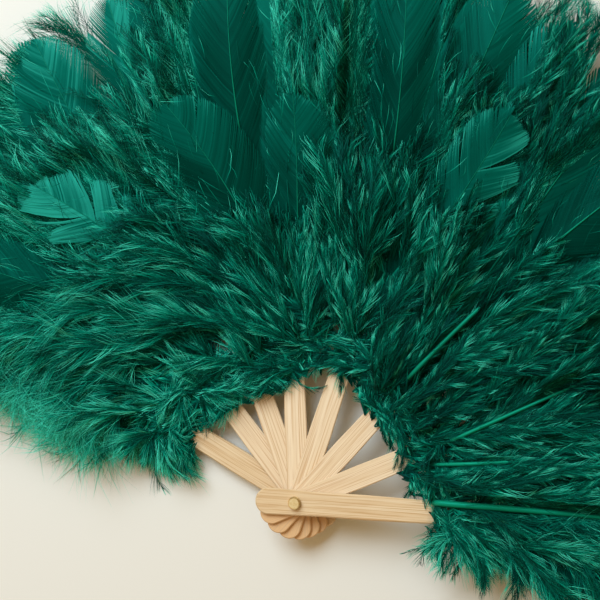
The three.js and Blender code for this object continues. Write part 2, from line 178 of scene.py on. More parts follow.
def ribbons(left, right, tip, shade):
    # flat strips: left and right edges are [strip, step, 3], tip is [strip, 3] and shade [strip, step + 1]
    count, steps = left.shape[:2]
    points = np.concatenate([np.stack([left, right], 2).reshape(count, steps * 2, 3), tip[:, None]], 1)
    first = np.arange(count)[:, None] * (2 * steps + 1)
    k = np.arange(steps - 1) * 2
    quads = first[:, :, None] + np.stack([k, k + 1, k + 3, k + 2], 1)[None]
    tips = first + np.array([[2 * steps - 2, 2 * steps - 1, 2 * steps]])
    across = np.concatenate([np.repeat(shade[:, :-1], 2, 1), shade[:, -1:]], 1)
    along = np.broadcast_to(np.append(np.repeat(np.linspace(0, 1, steps + 1)[:-1], 2), 1.0)[None], across.shape)
    return points.reshape(-1, 3), [quads.reshape(-1, 4), tips], np.stack([across, along], -1).reshape(-1, 2), 0


def loft(rings, shade, number=0):
    # closed skins through rings of points [skin, step, corner, 3], with a flat face over each end
    count, steps, sides = rings.shape[:3]
    a = np.arange(steps - 1)[:, None] * sides + np.arange(sides)
    b = np.arange(steps - 1)[:, None] * sides + (np.arange(sides) + 1) % sides
    quads = np.stack([a, a + sides, b + sides, b], -1).reshape(1, -1, 4)
    first = np.arange(count)[:, None, None] * steps * sides
    ends = np.stack([np.arange(sides), np.arange(sides)[::-1] + (steps - 1) * sides])
    uv = np.stack([np.full(steps, shade), np.linspace(0, 1, steps)], -1)[None, :, None]
    uv = np.broadcast_to(uv, (count, steps, sides, 2)).reshape(-1, 2)
    return rings.reshape(-1, 3), [(quads + first).reshape(-1, 4), (ends[None] + first).reshape(-1, sides)], uv, number


def tubes(centres, radii, sides, shade, number=0):
    # a circle of points square to the path at each step: centres [tube, step, 3], radii [tube, step]
    along = unit(np.gradient(centres, axis=1))
    across = unit(np.cross(along, [0, 0, 1.0]))
    up = np.cross(across, along)
    turn = np.arange(sides) * 2 * np.pi / sides
    ring = across[:, :, None] * np.cos(turn)[:, None] + up[:, :, None] * np.sin(turn)[:, None]
    return loft(centres[:, :, None] + ring * radii[:, :, None, None], shade, number)


# Flat feathers, in the frame of their stave. Each row: stave, reach, angle of the tip off the stave in degrees,
# bow, width, and what differs from a plain feather. Those that show say something there: vane, the reach past which
# the vane lies on top of the down; quill, the stretches where only the quill does; root, x and y; raised, the height
# of the quill over its kind; radius of the quill; bare, its share without barbs; quillShade, how light it is;
# frayed, how wide the vane parts; tone, how much lighter it is, and pale, how much lighter still its end is, painted
# light that comes through the thin end; splits, the side, share along the quill and width of each wide gap

plainFeather = {"root": (90, 0), "vane": 400, "quill": [], "raised": 0, "bare": 0.14, "frayed": 1, "tone": 0,
                "pale": 0.16, "quillShade": 0.4, "splits": []}

plume = {
    "rows": [
        (0, 278, -6.5, -2, 42), (0, 286, 7, 2, 40),
        (0, 285, -1, 3, 34, {"root": (73, 5.5), "quill": [(70, 190)], "raised": 5.5, "radius": 1.7, "bare": 0.42,
                             "quillShade": 0.62}),
        (0, 272, -12, -2, 42),
        (1, 284, -6, -2, 42), (1, 286, 9.5, 2, 38),
        (1, 288, 1.5, 0, 40, {"quill": [(99, 168)], "vane": 168, "raised": 10, "bare": 0.3, "quillShade": 0.55}),
        (1, 280, -13.3, -3, 36, {"root": (75.5, -8), "quill": [(74, 118)], "raised": 8.5, "radius": 1.1, "bare": 0.35,
                                "quillShade": 0.6}),
        (2, 286, -10.8, -2, 42), (2, 288, 12.5, 3, 38), (2, 290, 4, 0, 38),
        (2, 286, -5.5, 6, 44, {"quill": [(98, 141)], "vane": 172, "raised": 10, "radius": 1.2, "bare": 0.42,
                               "tone": -0.05, "quillShade": 0.5}),
        (3, 293, 0.7, -2, 40),
        (3, 292, 6.5, -8, 36, {"vane": 185, "tone": -0.08}),
        (3, 294, -5, -2, 40, {"vane": 236, "pale": 0.2, "tone": -0.05}),
        (4, 294, -9.3, 2, 40), (4, 294, 0.2, -2, 40),
        (4, 292, 5, 9, 42, {"vane": 165, "tone": -0.1, "radius": 1.25}),
        (4, 290, -4.5, -2, 38),
        (5, 294, -2.8, -2, 40),
        (5, 292, 1, 2, 38, {"vane": 266, "pale": 0.4, "frayed": 2.0}),
        (5, 290, -6.5, -3, 36),
        (6, 292, -5.5, 2, 40), (6, 290, 4, 2, 40),
        (6, 293, -7.5, -1, 48, {"vane": 238, "pale": 0.36, "frayed": 1.6}),
        (6, 288, 0, 0, 40), (6, 286, 8, 2, 38),
        (7, 284, -4, 2, 40), (7, 280, 4.5, -2, 40), (7, 285, -8, -3, 40),
        (7, 287, 0, 0, 40, {"vane": 250}),
        (7, 280, 9, 3, 42),
    ],
    "lift": 1.1,  # above the underside of the stave
    "spring": 2.0,  # rise past the tip of the stave, of those that show
    "hiddenSpring": 1.5,  # and of the others
    "layer": 0.4,  # how much higher each lies than the one before it
    "quillRadius": 1.0,
    "barbs": 200,  # on each side
    "forward": 0.17,  # how far a barb leans towards the tip, as a share of the quill
    "tip": 1.5,  # length of the rounded end, as a share of half the width
    "tilt": 6.0,  # degrees each feather may lie turned about its quill
}

cover = {
    "rows": [
        (0, 200, 4, 2, 34),
        (0, 205, -9, -3, 36, {"vane": 165}),
        (1, 202, -4, -2, 34), (1, 198, 8, 3, 34),
        (2, 198, -10, -3, 34), (2, 196, 6, 2, 32),
        (3, 232, -11.3, -3.5, 40, {"vane": 174, "pale": 0.06, "frayed": 1.2, "tone": -0.04,
                                    "splits": [(-1, 0.93, 9), (-1, 0.8, 8), (1, 0.86, 3)]}),
        (3, 190, 2, 2, 34),
        (4, 217, -2.3, -3, 38, {"vane": 174}),
        (4, 223, 15.8, -8, 44, {"vane": 148, "tone": -0.08, "pale": 0.2}),
        (5, 222, 20, -5, 46, {"vane": 170, "pale": 0.2, "frayed": 1.3, "tone": 0.08,
                               "splits": [(1, 0.93, 9), (1, 0.82, 12), (-1, 0.9, 8), (-1, 0.78, 7)]}),
        (5, 198, -4, -2, 34),
        (6, 238, 18.5, -7, 38, {"vane": 178}),
        (6, 200, -2, -2, 34),
        (7, 200, -6, -3, 34), (7, 198, 8, 3, 34),
    ],
    "lift": 1.9,
    "spring": 10.0,
    "hiddenSpring": 2.0,
    "layer": 0.8,
    "quillRadius": 0.7,
    "barbs": 200,
    "forward": 0.2,
    "tip": 1.15,
    "tilt": 7.0,
}

shadeLimits = (0.02, 0.98)  # of every strand, from the darkest colour of its dye to the lightest
crown = {"height": 11.0, "start": 128.0, "end": 294.0, "turnShare": 0.62}  # how the whole fan bows up, by reach
quillRise = {
    "shoulder": (78, 104),  # a quill comes down off the shoulder of its stave between these
    "rootedBy": 88,  # if it is rooted nearer than this
    "raised": (70, 100, 125, 185),  # a raised one rises between the first two reaches and sinks between the others
    "spring": (118, 165),  # and its spring comes between these
}
vaneShape = {
    "fullAt": 0.45,  # share of the vane where it has its full width
    "arch": 1.6,  # how far its edges hang below its middle
    "waves": (0.5, 0.3),  # how high its two edges wave against each other, and together
    "hiddenBarbs": 0.5,  # share of the barbs that a feather keeps where it doesn't show
    "outlinePoints": 600,
    "steps": [0, 0.25, 0.52, 0.8, 0.96],  # shares of a barb, before its tip
    "tip": (0.5, 1.6),  # length of that tip
    "clump": 0.06,  # chance that a new clump starts at a barb
    "clumpLift": 0.6,
    "clumpTone": 0.05,
    "partings": (0.16, 0.1),  # share of the clumps where the vane parts, and more of it where it is frayed
    "parting": (1, 6),  # how far a clump swings there
    "grow": (0.02, 0.012),  # how much the clumps differ in length, and the barbs
    "strip": 1.05,  # width of a barb, as a share of its room
    "narrowing": (0.35, 0.04, 0.3),  # at its end, more of it near the tip, and more again where it is frayed there
    "slant": (-0.07, 0.1),  # how low its one edge lies, and how high its other
    "shade": (0.33, 0.05),  # and how much the barbs differ in it
    "paleFrom": 0.78,  # share of the quill where the paler end begins
    # painted light on the thin ends of the barbs
    "shine": (0.28, 0.25),  # how much lighter the ends of the barbs are, and more of it in streaks
}
besideGap = {  # how much the barbs beside a wide gap differ, and the share of the quill over which that fades
    "before": (-1.0, 0.15),  # swing, as a share of the gap
    "past": (0.15, 0.03),
    "cut": (0.14, 0.015),  # share of their length that they are shorter
    "lift": (1.5, 0.05),  # millimetres
    # tone is painted light on the barbs beside the gap
    "tone": (0.24, 0.1),
}


def crownRise(reach):
    # crown height times the square of a sine, from the tips of the staves outwards
    along = np.maximum(reach - crown["start"], 0) / (crown["end"] - crown["start"])
    return crown["height"] * np.sin(crown["turnShare"] * np.pi * along) ** 2


class Feather:
    # One flat feather: its quill is a parabola over the straight line from root to tip

    def __init__(self, row, kind, order, rng):
        self.stave, reach, angle, self.bow, self.width, *more = row
        own = {**plainFeather, "radius": kind["quillRadius"], **(more[0] if more else {})}
        turn = np.radians(angle)
        self.kind = kind
        self.shows = bool(more)
        self.root = np.array(own["root"], float)
        self.vaneFrom, self.quillShows, self.splits = own["vane"], own["quill"], own["splits"]
        self.raised, self.radius, self.bare, self.frayed = own["raised"], own["radius"], own["bare"], own["frayed"]
        self.tone, self.pale, self.quillShade = own["tone"], own["pale"], own["quillShade"]
        self.spring = kind["spring"] if more else kind["hiddenSpring"]
        chord = np.array([reach * np.cos(turn), reach * np.sin(turn)]) - self.root
        self.length = np.hypot(*chord)
        self.ahead = chord / self.length
        self.side = np.array([-self.ahead[1], self.ahead[0]])
        self.base = staveFloors[self.stave] + kind["lift"] + kind["layer"] * order
        self.tilt = np.radians(rng.uniform(-1, 1) * kind["tilt"])
        self.wave = rng.uniform(0, 2 * np.pi, 2)
        self.balance = rng.uniform(-0.12, 0.12)  # one vane is a little wider than the other

    def halfWidth(self, a):
        # bare quill, then a vane that widens as a sine, keeps its width and ends in half an ellipse
        along = np.clip((a - self.bare) / (1 - self.bare), 0, 1)
        endShare = self.kind["tip"] * self.width / 2 / (self.length * (1 - self.bare))
        end = np.clip((along - 1 + endShare) / endShare, 0, 1)
        widening = np.sin(np.minimum(along / vaneShape["fullAt"], 1) * np.pi / 2)
        return self.width / 2 * widening * np.sqrt(1 - end ** 2)

    def quillHeight(self, a):
        # over the shoulder of its stave, then along the crown, with a spring past the stave's tip
        x, y = self.flat(a, 0 * a)
        reach = np.hypot(x, y)
        over = np.maximum(staveTops[self.stave] + self.radius - self.base, 0)
        over = over * (1 - smooth(*quillRise["shoulder"], x)) * (self.root[0] < quillRise["rootedBy"])
        up, down = quillRise["raised"][:2], quillRise["raised"][2:]
        over = over + self.raised * smooth(*up, reach) * (1 - smooth(*down, reach))
        return self.base + over + crownRise(reach) + self.spring * smooth(*quillRise["spring"], reach)

    def flat(self, a, lateral):
        # place on the plane of the stave, from the share along the quill and the distance to its side
        offset = lateral + 4 * self.bow * a * (1 - a)
        x = self.root[0] + self.ahead[0] * a * self.length + self.side[0] * offset
        y = self.root[1] + self.ahead[1] * a * self.length + self.side[1] * offset
        return x, y

    def height(self, a, lateral):
        # the vane is arched across, turned a little about its quill, and waves gently
        share = lateral / (self.width / 2)
        arch = -vaneShape["arch"] * share ** 2 * smooth(0.1, 0.4, a)
        turned = np.sin(self.tilt) * lateral * smooth(0.15, 0.5, a)
        against, both = vaneShape["waves"]
        wave = against * np.sin(9 * a + self.wave[0]) * share + both * np.sin(17 * a + self.wave[1]) * share ** 2
        return self.quillHeight(np.clip(a, 0, 1)) + arch + turned + wave

    def local(self, points):
        # share along the quill and distance to its side, of points in the frame of the whole fan
        p = turnXY(points, -staveAngles[self.stave])[..., :2] - self.root
        a = (p @ self.ahead) / self.length
        return a, p @ self.side - 4 * self.bow * a * (1 - a)

    def place(self, a, lateral):
        # points of the vane, from the share along the quill and the distance to its side
        x, y = self.flat(a, lateral)
        return np.stack([x, y, self.height(a, lateral)], -1)


def vane(feather, side, rng):
    # One half of a feather as barbs laid edge to edge. Barb i runs from the quill at the share
    # (outline share - forward x width share) to the outline, and strip i fills the room from barb i to barb i + 1
    kind, shape = feather.kind, vaneShape
    barbs = kind["barbs"] if feather.shows else int(kind["barbs"] * shape["hiddenBarbs"])
    fine = np.linspace(feather.bare + 0.002, 1, shape["outlinePoints"])
    halfWide = feather.halfWidth(fine) * (1 + side * feather.balance)
    length = np.concatenate([[0], np.cumsum(np.hypot(np.diff(fine * feather.length), np.diff(halfWide)))])
    spread = np.linspace(0, length[-1], barbs + 1)
    ends = np.interp(spread, length, fine)
    wide = np.interp(spread, length, halfWide)
    roots = ends - kind["forward"] * wide / halfWide.max()
    steps = np.array(shape["steps"])
    along = roots[:, None] + (ends - roots)[:, None] * steps ** 1.08
    lateral = side * wide[:, None] * steps ** 0.96
    # clumps of barbs part a little from each other towards the edge
    clumps = np.cumsum(rng.random(barbs) < shape["clump"])
    count = clumps.max() + 1
    clumpTurn = rng.normal(0, 1, count)[clumps]
    clumpLift = rng.normal(0, 1, count)[clumps] * shape["clumpLift"]
    clumpTone = shape["clumpTone"] * clumpTurn
    plain, frayed = shape["partings"]
    parted = rng.random(count) < plain + frayed * feather.frayed
    split = (parted * rng.uniform(*shape["parting"], count))[clumps] * feather.frayed
    gapTurn, cut = np.zeros(barbs), np.zeros(barbs)
    for splitSide, share, gap in feather.splits:
        # the barbs before a wide gap swing back from those past it, as one; those beside it are a little shorter,
        # lifted, and painted lighter
        past = ends[:-1] - share
        here = splitSide == side
        swing, back, shorter, lift, tone = [
            amount * here * np.exp(-np.abs(past) / fade)
            for amount, fade in (besideGap[key] for key in ("before", "past", "cut", "lift", "tone"))]
        gapTurn = gapTurn + gap * np.where(past > 0, back, swing)
        cut, clumpLift, clumpTone = cut + shorter, clumpLift + lift, clumpTone + tone
    bend = ((clumpTurn + split)[:, None] * steps ** 3 + gapTurn[:, None] * steps ** 1.5) / feather.length
    ofClumps, ofBarbs = shape["grow"]
    grow = ofClumps * clumpTurn - cut + rng.normal(0, ofBarbs, barbs)
    edge = []
    for near in (0, 1):
        a = along[near:len(along) - 1 + near] + bend
        l = lateral[near:len(lateral) - 1 + near] * (1 + grow[:, None] * steps ** 2)
        edge.append((a, l))
    middleA, middleL = (edge[0][0] + edge[1][0]) / 2, (edge[0][1] + edge[1][1]) / 2
    atEnd, nearTip, frayed = shape["narrowing"]
    loose = (nearTip + frayed * (feather.frayed - 1)) * smooth(0.84, 1.0, ends[:-1, None])
    narrow = shape["strip"] - atEnd * smooth(0.7, 1.0, steps)[None] - loose * smooth(0.35, 1, steps)
    strips = []
    for (a, l), lift in zip(edge, shape["slant"]):
        p = feather.place(middleA + (a - middleA) * narrow, middleL + (l - middleL) * narrow)
        p[..., 2] += lift * smooth(0, 0.3, steps) + clumpLift[:, None] * steps ** 2
        strips.append(p)
    last = (strips[0][:, -1] + strips[1][:, -1]) / 2
    ahead = unit(last - (strips[0][:, -2] + strips[1][:, -2]) / 2)
    tip = last + ahead * rng.uniform(*shape["tip"], (barbs, 1))
    shade, ofBarbs = shape["shade"]
    # pale adds painted light that comes through the thin end of the vane
    shade = shade + feather.tone + clumpTone + feather.pale * smooth(shape["paleFrom"], 1.0, ends[:-1])
    shade = shade + rng.normal(0, ofBarbs, barbs)
    streak = rng.random(count)[clumps][:, None] ** 3
    # painted light on the thin ends of the barbs, less where the end is already pale
    ownShine, streakShine = shape["shine"]
    shine = np.append(steps, 1) ** 2.5 * (ownShine * rng.uniform(0.2, 1.5, (barbs, 1)) + streakShine * streak)
    shade = shade[:, None] + shine * (1 - feather.pale)
    return ribbons(strips[0], strips[1], tip, np.clip(shade, *shadeLimits))


def quill(feather):
    # a tube along the quill, thick at the cut root and fine at the tip
    a = np.linspace(0, 0.99, 40)
    points = feather.place(a, 0 * a)
    radius = feather.radius * (1 - 0.82 * smooth(0.05, 0.85, a)) * (1 - 0.12 * (1 - smooth(0, 0.03, a)))
    points[:, 2] += 0.15 + radius * 0.4
    return tubes(points[None], radius[None], 8, feather.quillShade, number=1)


def featherSet(kind, stave, seed):
    # the feathers of one kind on one stave, in the order in which they lie
    rng = np.random.default_rng(seed)
    rows = [row for row in kind["rows"] if row[0] == stave]
    return [Feather(row, kind, order, rng) for order, row in enumerate(rows)]


plumeSets = [featherSet(plume, i, fan["seed"] + i) for i in range(lastStave + 1)]
coverSets = [featherSet(cover, i, fan["seed"] + 20 + i) for i in range(lastStave + 1)]
shownFeathers = [f for group in plumeSets + coverSets for f in group if f.shows]


def vanePiece(name, feathers, seed, materials):
    # the feathers of one stave as one mesh: for each its two vanes, and its quill as a tube
    rng = np.random.default_rng(seed)
    parts = []
    for feather in feathers:
        for side in (-1, 1):
            parts.append(vane(feather, side, rng))
        parts.append(quill(feather))
    points, faces, uvs, finish = joinParts(parts)
    return meshObject(name, turnXY(points, staveAngles[feathers[0].stave]), faces, uvs, materials, finish)


# Marabou: soft plumelets with a thin shaft and long loose barbs that cling together in locks. They grow in tufts.
# Each kind of growth says how many, where they root past the inner edge, how they turn in degrees and how long
# they grow. scatter is the share of the cell that the roots fill, crowd how much they crowd towards the inner edge,
# further how many millimetres more where all is brushed aside, swept how much of that brushing they follow at root
# and tip, bare the share of the shaft without barbs, points the number of points on a barb, outward the degrees
# that they reach past a guard, and under the share that lies below the covers

plainGrowth = {"each": 3, "scatter": 0.95, "crowd": 1, "further": 0, "points": 4, "width": 0.25, "bare": 0.0,
               "under": 0.0}
matGrowth = {
    **plainGrowth, "tufts": 56, "each": 2, "root": (2, 74), "scatter": 0.8, "crowd": 1.6, "level": (0.3, 1.4),
    "heading": (0, 50), "headingEnd": (0, 60), "swept": (0.2, 0.6), "pitch": (0, 10), "pitchEnd": (-10, 0),
    "length": (16, 32), "barb": (9, 15), "barbs": 16, "points": 3, "width": 0.85, "under": 1.0, "outward": 9,
}
inwardGrowth = {
    **plainGrowth, "tufts": 18, "root": (8, 30), "level": (1, 7), "heading": (60, 170), "headingEnd": (50, 160),
    "swept": (0.0, 0.3), "pitch": (0, 34), "pitchEnd": (-50, -5), "length": (14, 30), "barb": (8, 15), "barbs": 22,
    "outward": 18,
}
rootGrowth = {
    **plainGrowth, "tufts": 15, "root": (12, 70), "further": 0.5, "level": (2, 9), "heading": (0, 50),
    "headingEnd": (0, 60), "swept": (0.5, 1.1), "pitch": (12, 46), "pitchEnd": (-40, 0), "length": (20, 40),
    "barb": (11, 19), "barbs": 26, "outward": 16,
}
innerGrowth = {
    **plainGrowth, "tufts": 20, "each": 4, "root": (14, 76), "further": 0.7, "level": (2, 13), "heading": (0, 26),
    "headingEnd": (0, 34), "swept": (0.4, 1.1), "pitch": (8, 40), "pitchEnd": (-30, 2), "length": (34, 70),
    "barb": (13, 24), "barbs": 38, "bare": 0.04, "outward": 14,
}
farGrowth = {
    **plainGrowth, "tufts": 36, "root": (54, 186), "scatter": 1.0, "level": (3, 9), "heading": (0, 24),
    "headingEnd": (0, 34), "swept": (0.6, 1.2), "pitch": (2, 26), "pitchEnd": (-26, 2), "length": (36, 76),
    "barb": (13, 25), "barbs": 31, "bare": 0.04, "outward": 6,
}
outerGrowth = {
    **plainGrowth, "tufts": 11, "root": (46, 90), "scatter": 0.8, "level": (2, 6), "heading": (0, 9),
    "headingEnd": (0, 16), "swept": (0.0, 0.4), "pitch": (2, 9), "pitchEnd": (-5, 5), "length": (130, 205),
    "barb": (18, 32), "barbs": 84, "width": 0.28, "bare": 0.25, "under": 0.4, "outward": 4,
}
tipGrowth = {
    **plainGrowth, "tufts": 17, "root": (128, 222), "scatter": 1.0, "level": (2, 8), "heading": (0, 20),
    "headingEnd": (0, 32), "swept": (0.5, 1.0), "pitch": (0, 20), "pitchEnd": (-20, 4), "length": (34, 66),
    "barb": (14, 26), "barbs": 30, "bare": 0.04, "outward": 6,
}
guardSideGrowth = {
    **plainGrowth, "tufts": 54, "root": (1, 114), "scatter": 0, "crowd": 1.6, "level": (0.5, 4), "heading": (0, 18),
    "headingEnd": (0, 34), "swept": (0.7, 1.8), "pitch": (-6, 22), "pitchEnd": (-50, -12), "length": (22, 50),
    "barb": (12, 22), "barbs": 36, "width": 0.22, "outward": 9,
}
backGrowth = {
    **plainGrowth, "tufts": 10, "each": 2, "root": (20, 70), "scatter": 0.8, "level": (-3.0, -0.5),
    "heading": (0, 18), "headingEnd": (0, 30), "swept": (0.2, 0.5), "pitch": (-34, -2), "pitchEnd": (-6, 8),
    "length": (50, 185), "barb": (16, 28), "barbs": 54, "width": 0.6, "bare": 0.02, "outward": 14,
}

tuftShape = {
    "cell": (23, 0.85, 1.12),  # degrees that the numbers of tufts are for, and limits to how others change them
    "onGuard": 7,  # degrees past a guard's middle where its wood still carries a root
    "besideGuard": (2, 7),  # how far in millimetres the roots at a guard's side lie off its middle
    "acrossSlope": 1.1,  # how much lower the roots lie at one side of the cell than in its middle
    "tang": (84, 96, 1.2),  # between these reaches the wood thins, and the roots come down with it
    "spread": {"across": 0.06, "root": 1.5, "level": 0.3, "heading": 4, "headingEnd": 7, "pitch": 3, "pitchEnd": 5,
               "margin": 3},  # how much the plumelets of a tuft differ in each
    "lengths": (0.82, 1.08),  # shares of the length of their tuft
    "shaftSteps": 13,
    "wispy": 0.18,  # share of the plumelets that reach past the outline
    "margins": (-11.0, 4.0),  # how far inside the outline those end, which is past it, and the others
    "toneSpread": (0.13, 0.9),  # how much the tufts differ in tone, and what share of that their plumelets do
    "shaft": (0.34, 0.75),  # radius at the root, and the share by which it thins
    "shortest": (0.3, 0.12),  # the least that is kept of a plumelet, and of a barb, where they are drawn in
}
barbShape = {
    "leave": (14, 38, 6, 5),  # degrees off the shaft at its root, and how much locks and barbs differ in it
    "arrive": (-8, 12, 10, 4),  # and at its tip
    "lift": (4, 12, 7),  # degrees that it rises at its root, and how much locks and barbs differ in it
    "droop": (-14, 9, 9),  # and at its tip
    "roll": (0.5, 0.9),  # how far the two rows of barbs are rolled about the shaft, and wound along it
    "lengths": (0.12, 0.75, 1.15),  # how much the locks differ in length, and the shares of it that the barbs have
    "thinning": (0.7, 1.5),  # the share by which it thins to its tip, and the power of the way along it
    "cling": 0.72,  # how much the barbs of a lock draw together
    "lock": 7,  # barbs in a lock
    "twist": 28,  # degrees
    "shade": (0.41, 0.1),  # and how much the barbs differ in it
    # the first is each lock's own tone; the second a painted highlight on the ends of the lightest locks
    "lockToneAndHighlight": (0.14, 0.24),  # how much lighter a lock is, and more of it towards the ends of the lightest
    # painted shade darkens the root of each barb, deep in the down, and painted light brightens its thin tip
    "paintedShadeAlong": (0.12, 1.5),  # share of the shade at the root, and how much is added up to the tip
}
# Where the barbs are short, they need fewer points, and more of them cover as much
shortBarbs = {"below": 0.7, "barbs": 1.5, "cling": 0.6, "width": 0.85}
wisp = {
    "past": 3,  # how far past its plumelet's margin every barb may come
    "reach": (3.5, 14),  # how much farther some come, by an exponential draw, and at most
    "reachOut": (12, 24),  # and how much more at the sides
    "outside": (90, 120),  # the reach from the rivet where the sides begin, and where they have begun
    "loose": (8, 24),  # a barb that comes farther past than the first is loose, and by the second altogether so
    "nearRim": (22, 6),  # how far inside the outline they may begin to be so, and all may be so
    "curl": 8,  # how far the loose ones bend aside
    "longer": 0.9,  # what share longer they are
    "thinner": 0.3,  # and what share thinner
    "fringe": (12, -6, 0.2),  # near the outline light comes through: where that begins, ends, and how much
    # painted light that comes through the thin loose barbs
    "light": 0.12,  # how much lighter the loose ones are
    "over": (0.002, 0.007),  # share that passes over the feathers: of all, and of those that don't grow below them
}
tuck = {
    "beside": (13, 7),  # how far beside a vane and beside a quill the down is pressed
    "below": (1.6, 3.5),  # how far below a feather, and below one with wide gaps
    "slope": (0.9, 1.6),  # how steeply it rises beside a vane and beside a quill
    "ragged": 9,  # how unevenly it ends where a vane begins to lie on it
}
blade = {"half": 6.6, "end": 129, "fall": 2}  # half its width, its reach, and how steeply the floor falls past them
aboveBlade = (0.3, 0.6)  # how far barbs and shafts stay off it


def insideBy(points, margin):
    # how far points lie inside the outline of the down less the margin: its inner edge and its two sides, and its
    # rim, which no margin moves out
    reach = np.maximum(np.hypot(points[..., 0], points[..., 1]), 1)
    turn = np.mod(np.degrees(np.arctan2(points[..., 1], points[..., 0])) + 90, 360) - 90
    inner = reach - fieldAt(fan["innerEdge"], turn)
    left = np.radians(fieldAt(fan["leftSide"], reach) - turn) * reach
    right = np.radians(turn - fieldAt(fan["rightSide"], reach)) * reach
    rim = np.minimum(fan["tipEdge"] - reach, points[..., 1] - fan["frontEdge"]) - np.maximum(margin, 0)
    return np.minimum(np.minimum(np.minimum(inner, left), right) - margin, rim)


def trimmed(points, margin, shortest):
    # Strands [strand, step, 3] drawn in towards their roots until they end inside the outline less their margin: the
    # share kept is d0 / (d0 - dmin), where d is the distance inside. Returns them and that share
    inside = insideBy(points, margin)
    first, least = inside[:, 0], inside.min(1)
    kept = np.where(least < 0, np.clip(first, 0, None) / np.maximum(first - least, 1e-6), 1)
    kept = np.clip(kept, shortest, 1)
    points = points[:, :1] + (points - points[:, :1]) * kept[:, None, None]
    low, high = fan["ceiling"]
    z = points[..., 2]
    points[..., 2] = np.where(z > low, low + (high - low) * (1 - np.exp(-np.maximum(z - low, 0) / (high - low))), z)
    return points, kept


def growShafts(growth, index, rng):
    # walks outwards from each root, heading and pitch turning steadily, in the frame of the stave
    low, high = cellSides(index)
    low = max(low, -np.radians(growth["outward"])) if index == 0 else low
    high = min(high, np.radians(growth["outward"])) if index == lastStave else high
    cell, fewest, most = tuftShape["cell"]
    tufts = int(round(growth["tufts"] * np.clip((high - low) / np.radians(cell), fewest, most)))
    each = growth["each"]
    count = tufts * each

    def vary(key):
        # how much each plumelet differs from its tuft
        return rng.normal(0, tuftShape["spread"][key], count)

    def pick(key, crowd=1):
        # one value for each tuft, between the two of the growth; a crowd above 1 draws them to the first
        first, last = growth[key]
        return np.repeat(first + (last - first) * rng.random(tufts) ** crowd, each)

    across = np.repeat((rng.permutation(tufts) + rng.random(tufts)) / tufts * 2 - 1, each) + vary("across")
    across = np.clip(across, -1, 1)  # from side to side of the cell
    if growth is guardSideGrowth:
        across = (0.4 + 0.6 * np.abs(across)) * (-1 if index == 0 else 1)
    fanOut = (low + high) / 2 + (high - low) / 2 * across
    sign = np.where(np.repeat(rng.random(tufts), each) < 0.5 + 0.45 * across, 1, -1)
    worldTurn = np.degrees(staveAngles[index] + fanOut)
    brush = fieldAt(fan["brush"], worldTurn)
    start = fieldAt(fan["innerEdge"], worldTurn) + pick("root", growth["crowd"]) + vary("root")
    start = start + np.abs(brush) * growth["further"] * np.repeat(rng.random(tufts), each)
    onGuard = np.radians(tuftShape["onGuard"])
    rootLow, rootHigh = -onGuard if index == 0 else low, onGuard if index == lastStave else high
    rootTurn = np.clip(fanOut * growth["scatter"], rootLow, rootHigh)
    if growth is guardSideGrowth:
        rootTurn = np.sign(across) * rng.uniform(*tuftShape["besideGuard"], count) / start
    thinFrom, thinBy, drop = tuftShape["tang"]
    level = staveTops[index] - tuftShape["acrossSlope"] * across - drop * smooth(thinFrom, thinBy, start)
    if growth is backGrowth:
        level = staveFloors[index]
    level = level + pick("level") + vary("level")
    root = np.stack([start * np.cos(rootTurn), start * np.sin(rootTurn), level], -1)
    fadeFrom, fadeBy, fade = fan["brushFades"]
    swept = np.radians(brush) * (1 - fade * smooth(fadeFrom, fadeBy, start))
    heading, headingEnd, pitch, pitchEnd = [
        np.radians(pick(key) + vary(key)) for key in ("heading", "headingEnd", "pitch", "pitchEnd")]
    heading = sign * heading + fanOut + swept * growth["swept"][0]
    headingEnd = sign * headingEnd + fanOut + swept * growth["swept"][1]
    length = np.minimum(pick("length") * rng.uniform(*tuftShape["lengths"], count), fan["tipEdge"] - start)
    steps = tuftShape["shaftSteps"]
    t = ((np.arange(steps) + 0.5) / steps)[None]
    turn = heading[:, None] + (headingEnd - heading)[:, None] * t
    rise = pitch[:, None] + (pitchEnd - pitch)[:, None] * t ** 0.8
    move = np.stack([np.cos(rise) * np.cos(turn), np.cos(rise) * np.sin(turn), np.sin(rise)], -1)
    walk = np.cumsum(move * (length / steps)[:, None, None], 1)
    path = root[:, None] + np.concatenate([np.zeros((count, 1, 3)), walk], 1)
    reach = np.hypot(path[..., 0], path[..., 1])
    under = rng.random(count) < growth["under"]
    path[..., 2] += crownRise(reach)
    if growth is not backGrowth:
        up, down = fan["overCovers"][:2], fan["overCovers"][2:]
        path[..., 2] += fan["coverRise"] * smooth(*up, reach) * (1 - smooth(*down, reach)) * ~under[:, None]
    wispy = rng.random(count) < tuftShape["wispy"]
    margin = np.where(wispy, *tuftShape["margins"])[:, None] + vary("margin")[:, None]
    path, kept = trimmed(turnXY(path, staveAngles[index]), margin, tuftShape["shortest"][0])
    path, length = turnXY(path, -staveAngles[index]), length * kept
    # the painted light and shade of the down by angle, and its lighter rim
    tone = fieldAt(fan["tone"], worldTurn) + fan["rimTone"] * smooth(*fan["rim"], start)
    tuftShade = np.repeat(rng.normal(0, 1, tufts), each) + tone / tuftShape["toneSpread"][0]
    share = fieldAt(fan["barbShare"], worldTurn) * np.where(wispy, 0.8, 1) * (0.55 + 0.45 * kept)
    if growth is matGrowth or growth is backGrowth:
        share = np.maximum(share, 1)
    return path, length, under, tuftShade, share, margin


